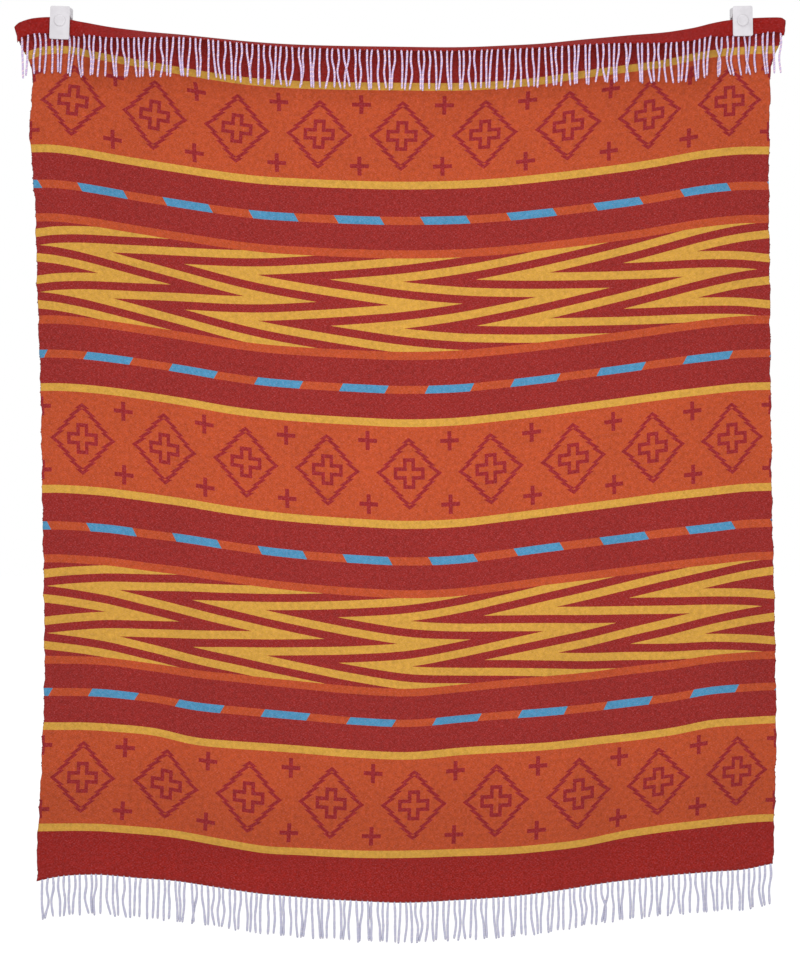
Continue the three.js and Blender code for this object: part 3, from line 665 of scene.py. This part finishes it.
yarn_chance = np.random.default_rng(11)


def cloth_front_at(line, top_u):
    """How far from the wall the front of the cloth is behind each point of the strands."""
    _, _, start, _ = bend_at(top_u)
    foot = hanging_place(top_u, start)[:, None, 2]
    v = np.minimum(start[:, None] - (foot - line[..., 2]), start[:, None])
    left, right = side_edges(v)
    u = ((line[..., 0] - left) / (right - left) - 0.5) * CLOTH_WIDTH
    return depth_of(np.clip(u, -CLOTH_WIDTH / 2, CLOTH_WIDTH / 2), v) + CLOTH_THICK / 2


def strays_across(count, radius):
    """How far each strand strays across at each of its bends, and which strands cross the next."""
    share = (np.arange(count) + 0.5) / count
    strays = yarn_chance.uniform(-1, 1, (count, len(BENDS))) * BENDS_ACROSS
    for waves in GROUPS:
        lean = np.sin(2 * math.pi * (waves * share + yarn_chance.random()))
        strays += np.outer(lean, BENDS) * GROUP_LEAN / len(GROUPS)
    pitch = CLOTH_WIDTH / count
    crossing = np.zeros(count, bool)
    pair = 0
    while pair < count - 1:
        chance = yarn_chance.random()
        if chance < CROSSING_SHARE:
            crossing[pair] = True
            strays[pair, 1:] += CROSSING_BENDS * (pitch / 2 + CROSSING_REACH / 2)
            strays[pair + 1, 1:] -= CROSSING_BENDS * (pitch / 2 + CROSSING_REACH / 2)
        elif chance < CROSSING_SHARE + CLINGING_SHARE:
            gap = pitch + strays[pair + 1] - strays[pair]
            draw = np.maximum(gap - CLINGING_GAP * radius, 0) / 2 * CLINGING_BENDS
            strays[pair] += draw
            strays[pair + 1] -= draw
        else:
            pair -= 1
        pair += 2
    return strays, crossing


def kept_apart(line, crossing, radius):
    """Moves strands apart where they would run through their neighbours, unless they cross."""
    for _ in range(PUSHES_APART):
        gap = line[1:, :, 0] - line[:-1, :, 0]
        push = np.where(crossing[:-1, None], 0, np.maximum(LEAST_GAP * radius - gap, 0) / 2)
        line[:-1, :, 0] -= push
        line[1:, :, 0] += push
    return line


def fringe_lines(edge_part, inner_part, radius, lies_on_cloth):
    """The points down the middle of each strand, from inside the hem to its tip."""
    share = (np.arange(STRANDS) + 0.5) / STRANDS
    u = (share - 0.5) * (CLOTH_WIDTH - FRINGE_INSET) + FRINGE_INSET / 2
    u = u + yarn_chance.uniform(-1, 1, STRANDS) * STRAND_ROOT_STRAYS
    roots, _ = cloth_place(u, np.full(STRANDS, float(edge_part)))
    inner, _ = cloth_place(u, np.full(STRANDS, inner_part))
    onward = directions(roots - inner)[:, None]
    t = np.linspace(0, 1, STRAND_RINGS)
    settled = eased(t, 0, HEADING_SETTLES)[None, :, None]
    heading = directions(onward + (np.array([0, 0, -1.0]) - onward) * settled)
    length = STRAND_LENGTH + yarn_chance.uniform(-1, 1, STRANDS) * STRAND_LENGTH_STRAYS
    steps = heading[:, :-1] * length[:, None, None] / (STRAND_RINGS - 1)
    first = roots[:, None] - onward * STRAND_ROOT_IN
    line = np.concatenate([first, first + np.cumsum(steps, axis=1)], axis=1)

    strays, crossing = strays_across(STRANDS, radius)
    outs = yarn_chance.uniform(-1, 1, strays.shape) * BENDS_OUT
    bends = np.array(BENDS)
    for strand in range(STRANDS):
        line[strand, :, 0] += smooth_curve(bends, strays[strand], t)
        line[strand, :, 1] -= smooth_curve(bends, outs[strand], t)
    line = kept_apart(line, crossing, radius)
    if lies_on_cloth:
        resting = cloth_front_at(line, u) + radius + STRAND_CLEARANCE
        line[..., 1] = np.minimum(line[..., 1], -resting)
    line[crossing, :, 1] -= eased(t, *CROSSING_RISE) * CROSSING_GAP * radius
    return line


def fringe_piece(name, line, radius):
    """All the strands of one fringe: closed eight-sided tubes with rounded ends."""
    heading = directions(np.gradient(line, axis=1))
    along = np.cumsum(np.linalg.norm(np.diff(line, axis=1, prepend=line[:, :1]), axis=2), axis=1)
    side_way = directions(np.cross(heading, (0, 1.0, 0)))
    front_way = np.cross(side_way, heading)
    thickness = 1 + yarn_chance.uniform(-1, 1, line.shape[:2]) * THICKNESS_STRAYS
    thickness[:, :2] = ROOT_THIN
    thickness[:, -1] = TIP_THIN
    angles = 2 * math.pi * np.arange(STRAND_SIDES) / STRAND_SIDES
    off = side_way[:, :, None] * np.cos(angles)[:, None]
    off = off + front_way[:, :, None] * np.sin(angles)[:, None]
    tubes = line[:, :, None] + off * (thickness * radius)[:, :, None, None]
    root_ends = line[:, 0] - heading[:, 0] * radius * ROOT_END
    tip_ends = line[:, -1] + heading[:, -1] * radius * TIP_END

    index = np.arange(tubes[..., 0].size).reshape(tubes.shape[:3])
    after = np.roll(index, -1, axis=2)
    quads = np.stack([index[:, :-1], after[:, :-1], after[:, 1:], index[:, 1:]], axis=-1)
    root_end = np.repeat(index.size + np.arange(STRANDS), STRAND_SIDES).reshape(STRANDS, -1)
    root_caps = np.stack([after[:, 0], index[:, 0], root_end], axis=-1)
    tip_caps = np.stack([index[:, -1], after[:, -1], root_end + STRANDS], axis=-1)
    points = np.concatenate([tubes.reshape(-1, 3), root_ends, tip_ends])
    caps = np.concatenate([root_caps, tip_caps]).reshape(-1, 3)
    piece = mesh_piece(name, points.tolist(), quads.reshape(-1, 4).tolist() + caps.tolist())

    # Where each face corner lies on its strand: the share of a turn round it, and metres along it.
    turn = np.broadcast_to(np.arange(STRAND_SIDES) / STRAND_SIDES, index.shape)
    run = np.broadcast_to(along[:, :, None], index.shape)
    low, high = run[:, :-1], run[:, 1:]
    near, far = turn[:, :-1], turn[:, :-1] + 1 / STRAND_SIDES
    quad_map = np.stack([near, low, far, low, far, high, near, high], axis=-1).reshape(-1, 2)
    cap_map = []
    for ring, (one, other) in ((0, (far, near)), (-1, (near, far))):
        level = run[:, ring]
        cap_map.append(np.stack([
            one[:, 0], level, other[:, 0], level, (near[:, 0] + far[:, 0]) / 2, level,
        ], axis=-1).reshape(-1, 2))
    yarn_map = piece.data.uv_layers.new(name="yarn_place")
    places = np.concatenate([quad_map, *cap_map]).astype(np.float32)
    yarn_map.data.foreach_set("uv", places.ravel())
    return piece


# The two plies and the painted shade of the groove between them, of the flap's fringe and of the hem's,
# whose darker, greyer copy of the same yarn is painted shade.
FLAP_YARN = (from_screen(172, 156, 188), from_screen(202, 176, 190), from_screen(106, 84, 136))
HEM_YARN_SHADED = (from_screen(157, 158, 178), from_screen(170, 166, 180), from_screen(108, 106, 136))

# The lay of the twist, which strays by shares of a turn, and the roundness of each ply. Then how far one
# ply's colour spreads over the other, how dark the painted shade in the groove is, and the fine fibres.
PLY_LAY = 0.0038
TWIST_STRAYS_SCALE = 60
TWIST_STRAYS = 0.8
PLY_ROUNDNESS = 2.5
ONE_COLOUR_SCALE = 85
ONE_COLOUR_RANGE = (0.42, 0.62)
ONE_COLOUR_AMOUNT = 0.6
GROOVE_SHADE_RANGE = (0.35, 1)
GROOVE_SHADE_AMOUNT = 0.75
FIBRE_SCALE = 2600
FIBRE_NOISE_ROUGHNESS = 0.6
YARN_TONE = (0.86, 0.28)
RIDGE_RELIEF = 0.9
FIBRE_RELIEF = 0.12
YARN_STRENGTH = 0.8
YARN_DEEP = 0.0009
STRAND_ROUGHNESS = (0.72, 0.2)
STRAND_SHEEN = 0.15
STRAND_SPECULAR = 0.25


def fringe_material(name, one_ply, other_ply, groove_shade):
    """Two twisted plies: a rounded ridge for each, with painted shade darkening the groove between them.
    """
    material, shader, start = new_material(name)
    yarn = start.node("UVMap", {"uv_map": "yarn_place"})
    place = start.node("TexCoord", output="Object")
    turns = yarn.part(0) * 2 + yarn.part(1) / PLY_LAY
    turns = turns + (place.noise(TWIST_STRAYS_SCALE) - 0.5) * TWIST_STRAYS
    off_crest = abs(turns.fraction() * 2 - 1)
    ridge = 1 - off_crest.maths("POWER", off_crest, PLY_ROUNDNESS)
    second_ply = (turns * 0.5).fraction() > 0.5
    fibres = place.noise(FIBRE_SCALE, detail=2, roughness=FIBRE_NOISE_ROUGHNESS)
    one_colour = place.noise(ONE_COLOUR_SCALE, detail=1).spread(*ONE_COLOUR_RANGE)
    colour = second_ply.mixed(one_ply, other_ply)
    colour = (one_colour * ONE_COLOUR_AMOUNT).mixed(colour, one_ply)
    # Painted shade: the groove between the plies is darkened in the colour.
    colour = ((1 - ridge).spread(*GROOVE_SHADE_RANGE) * GROOVE_SHADE_AMOUNT).mixed(colour, groove_shade)
    darkest, lighter = YARN_TONE
    toned = {"Value": darkest + fibres * lighter, "Color": colour}
    colour = start.node("HueSaturation", inputs=toned)
    relief = ridge * RIDGE_RELIEF + fibres * FIBRE_RELIEF
    least_rough, rougher = STRAND_ROUGHNESS
    dress(shader, colour, least_rough + fibres * rougher, relief, YARN_STRENGTH, YARN_DEEP)
    shader.inputs["Sheen Weight"].default_value = STRAND_SHEEN
    shader.inputs["Specular IOR Level"].default_value = STRAND_SPECULAR
    return material


flap_lines = fringe_lines(3, 2.9, FLAP_STRAND_RADIUS, True)
hem_lines = fringe_lines(0, 0.01, HEM_STRAND_RADIUS, False)
fringes = [
    fringe_piece("fringe_of_flap", flap_lines, FLAP_STRAND_RADIUS),
    fringe_piece("fringe_of_hem", hem_lines, HEM_STRAND_RADIUS),
]
# The hem's fringe gets a darker, greyer copy of the yarn: painted shade.
yarns = [
    fringe_material("twisted_yarn", *FLAP_YARN),
    fringe_material("twisted_yarn_shaded_for_hem", *HEM_YARN_SHADED),
]
for fringe, yarn, node in zip(fringes, yarns, ("fringe_top", "fringe_bottom")):
    fringe.data.materials.append(yarn)
    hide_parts(node)
    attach(fringe, "root")

# The selvedges: along both side edges the weft turns back round the last warp end, and leaves a row of
# small uneven loops, darker than the cloth because they are tightly packed.
LOOPS_FROM = 0.004
LOOPS_TO = CLOTH_LENGTH - 0.047
LOOP_PITCH = 0.0042
LOOP_SHIFT = 0.0012
LOOP_RADIUS = 0.00055
LOOP_REACH = (0.0006, 0.0021)
LOOP_SPAN = 0.0034
LOOP_ROOT_IN = 0.0004
LOOP_COLOUR_FROM = 0.004
LOOP_BENDS = 4
LOOP_SIDES = 4
SHORT_LOOPS = 3

SELVEDGE_DARK = from_screen(92, 30, 24)
BAND_SHOWS_SCALE = 75
BAND_SHOWS_RANGE = (0.45, 0.62)
BAND_SHOWS_AMOUNT = 0.7
LOOP_FIBRE_SCALE = 1900
LOOP_FIBRE_STRENGTH = 0.4
LOOP_FIBRE_DEEP = 0.0005
LOOP_ROUGHNESS = (0.8, 0.15)


def selvedge_piece():
    """Both rows of loops. Each is a short half ring; most are near the shortest reach."""
    points, faces, flat = [], [], []
    heights = np.arange(LOOPS_FROM, LOOPS_TO, LOOP_PITCH)
    shortest, longest = LOOP_REACH
    reaches = yarn_chance.random((2, len(heights))) ** SHORT_LOOPS
    reaches = shortest + (longest - shortest) * reaches
    shifts = yarn_chance.uniform(-LOOP_SHIFT, LOOP_SHIFT, (2, len(heights)))
    for side, reach_row, shift_row in zip((-1, 1), reaches, shifts):
        column = 0 if side < 0 else -1
        edge_line = middle[: HANGING_ROWS + 1, column]
        edge_heights = v_grid[: HANGING_ROWS + 1, column]
        for v, reach, shift in zip(heights, reach_row, shift_row):
            base = np.array([np.interp(v + shift, edge_heights, edge_line[:, k]) for k in range(3)])
            first = len(points)
            for bend in np.linspace(0, math.pi, LOOP_BENDS + 1):
                out, up = math.sin(bend), -math.cos(bend)
                off = (side * (reach * out - LOOP_ROOT_IN), 0, up * LOOP_SPAN / 2)
                ring_middle = base + np.array(off)
                for angle in 2 * math.pi * np.arange(LOOP_SIDES) / LOOP_SIDES:
                    flare = side * out * math.cos(angle)
                    points.append(tuple(
                        ring_middle
                        + LOOP_RADIUS * np.array([flare, math.sin(angle), up * math.cos(angle)])
                    ))
                    flat.append((side * (CLOTH_WIDTH / 2 - LOOP_COLOUR_FROM), v))
            for bend in range(LOOP_BENDS):
                for k in range(LOOP_SIDES):
                    after = (k + 1) % LOOP_SIDES
                    low = first + bend * LOOP_SIDES
                    high = low + LOOP_SIDES
                    ring = (low + k, low + after, high + after, high + k)
                    faces.append(ring if side < 0 else ring[::-1])
    piece = mesh_piece("selvedge_loops", points, faces)
    write_flat_place(piece, np.array(flat))
    return piece


def selvedge_material():
    """Dark packed weft, with the colour of the band showing here and there."""
    material, shader, start = new_material("selvedge_yarn")
    flat = start.node("Attribute", {"attribute_name": "flat_place"}, output="Vector")
    place = start.node("TexCoord", output="Object")
    band_shows = place.noise(BAND_SHOWS_SCALE, detail=1).spread(*BAND_SHOWS_RANGE)
    colour = (band_shows * BAND_SHOWS_AMOUNT).mixed(SELVEDGE_DARK, woven_pattern(flat))
    fibres = place.noise(LOOP_FIBRE_SCALE, detail=2)
    least_rough, rougher = LOOP_ROUGHNESS
    roughness = least_rough + fibres * rougher
    dress(shader, colour, roughness, fibres, LOOP_FIBRE_STRENGTH, LOOP_FIBRE_DEEP)
    return material


selvedge = selvedge_piece()
selvedge.data.materials.append(selvedge_material())
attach(selvedge, "root")

# The clips: white moulded plastic. A jaw with a round thumb boss rocks on a pin between the two ears of
# a back that sits on the wall, and presses the folded top of the cloth against the back's pad.
CLIP_PIECES = ("back", "jaw", "pin")
EDGE_RADIUS = 0.0005
EDGE_STEPS = 3
LEAST_EDGE_ANGLE = math.radians(40)
LEAST_CREASE_ANGLE = math.radians(32)
SAME_FLAT_ANGLE = math.radians(0.5)
SAME_POINT = 0.00001

PLASTIC_COLOURS = (from_screen(167, 164, 168), from_screen(177, 174, 178))
PLASTIC_CLOUD_SCALE = 70
PLASTIC_CLOUD_RANGE = (0.3, 0.7)
PLASTIC_GRAIN_SCALE = 3200
PLASTIC_STRENGTH = 0.12
PLASTIC_DEEP = 0.0003
PLASTIC_ROUGHNESS = (0.3, 0.22)


def plastic_material():
    """Slightly cloudy white plastic with a fine grain."""
    material, shader, start = new_material("moulded_plastic")
    place = start.node("TexCoord", output="Object")
    cloudy = place.noise(PLASTIC_CLOUD_SCALE, detail=3)
    grain = place.noise(PLASTIC_GRAIN_SCALE, detail=2)
    colour = cloudy.spread(*PLASTIC_CLOUD_RANGE).mixed(*PLASTIC_COLOURS)
    smoothest, rougher = PLASTIC_ROUGHNESS
    dress(shader, colour, smoothest + cloudy * rougher, grain, PLASTIC_STRENGTH, PLASTIC_DEEP)
    return material


def softened_piece(node, name):
    """A copy of a part of the clip with its moulded edges rounded."""
    bpy.ops.object.select_all(action="DESELECT")
    node.select_set(True)
    bpy.context.view_layer.objects.active = node
    bpy.ops.object.duplicate()
    piece = bpy.context.object
    piece.name = name
    bpy.ops.object.mode_set(mode="EDIT")
    bpy.ops.mesh.select_all(action="SELECT")
    bpy.ops.mesh.remove_doubles(threshold=SAME_POINT)
    bpy.ops.mesh.dissolve_limited(angle_limit=SAME_FLAT_ANGLE)
    bpy.ops.object.mode_set(mode="OBJECT")
    rounding = piece.modifiers.new("rounding", "BEVEL")
    rounding.width = EDGE_RADIUS
    rounding.segments = EDGE_STEPS
    rounding.limit_method = "ANGLE"
    rounding.angle_limit = LEAST_EDGE_ANGLE
    bpy.ops.object.modifier_apply(modifier="rounding")
    bpy.ops.object.shade_smooth_by_angle(angle=LEAST_CREASE_ANGLE)
    return piece


moulded_plastic = plastic_material()
clip_nodes = [f"clip_{side}_{piece}" for side in ("left", "right") for piece in CLIP_PIECES]
for name in clip_nodes:
    clip_piece = softened_piece(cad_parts[name], f"{name}_moulded")
    clip_piece.data.materials.clear()
    clip_piece.data.materials.append(moulded_plastic)
    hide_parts(name)
    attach(clip_piece, "root")

# The studio: a plain pale floor well below the fringe, even light from all sides, one square light that
# faces the upper half of the cloth from in front, and one soft light from above.
FLOOR_HEIGHT = -2.4
FLOOR_HALF = 30
FLOOR_PALE = (0.82, 0.82, 0.82, 1)
FLOOR_ROUGHNESS = 0.9
SKY_LEVEL = 1
FRONT_WATTS = 20
FRONT_SIZE = 1
FRONT_PLACE = (0.02, -1.5, -0.58)
SUN_STRENGTH = 1.2
SUN_SPREAD = math.radians(24)
SUN_TURN = (math.radians(37), 0, math.radians(-9))
LEVEL_TO_WALL = (math.radians(90), 0, 0)

bpy.ops.object.select_all(action="DESELECT")
bpy.ops.mesh.primitive_plane_add(size=2 * FLOOR_HALF, location=(0, 0, FLOOR_HEIGHT))
floor = bpy.context.object
floor.name = "studio_floor"
bpy.ops.object.transform_apply(location=True)
floor_paint, floor_shader, _ = new_material("pale_floor")
floor_shader.inputs["Base Color"].default_value = FLOOR_PALE
floor_shader.inputs["Roughness"].default_value = FLOOR_ROUGHNESS
floor_shader.inputs["Specular IOR Level"].default_value = 0
floor.data.materials.append(floor_paint)

world = bpy.data.worlds.new("studio")
world.use_nodes = True
sky = world.node_tree.nodes["Background"]
sky.inputs["Color"].default_value = (1, 1, 1, 1)
sky.inputs["Strength"].default_value = SKY_LEVEL
bpy.context.scene.world = world
bpy.context.scene.view_settings.view_transform = "Standard"

sun = bpy.data.objects.new("soft_light", bpy.data.lights.new("soft_light", "SUN"))
sun.data.energy = SUN_STRENGTH
sun.data.angle = SUN_SPREAD
sun.rotation_euler = SUN_TURN
front_light = bpy.data.objects.new("front_light", bpy.data.lights.new("front_light", "AREA"))
front_light.data.energy = FRONT_WATTS
front_light.data.size = FRONT_SIZE
front_light.location = FRONT_PLACE
front_light.rotation_euler = LEVEL_TO_WALL
front_light.visible_camera = False
for light in (sun, front_light):
    bpy.context.scene.collection.objects.link(light)

# The camera looks level at the middle of the cloth, square to the wall.
CAMERA_PLACE = (-0.0022, -3.328, -0.7985)
CAMERA_LENS = 71.2

camera = bpy.data.objects.new("camera", bpy.data.cameras.new("camera"))
camera.data.lens = CAMERA_LENS
camera.location = CAMERA_PLACE
camera.rotation_euler = LEVEL_TO_WALL
bpy.context.scene.collection.objects.link(camera)
bpy.context.scene.camera = camera
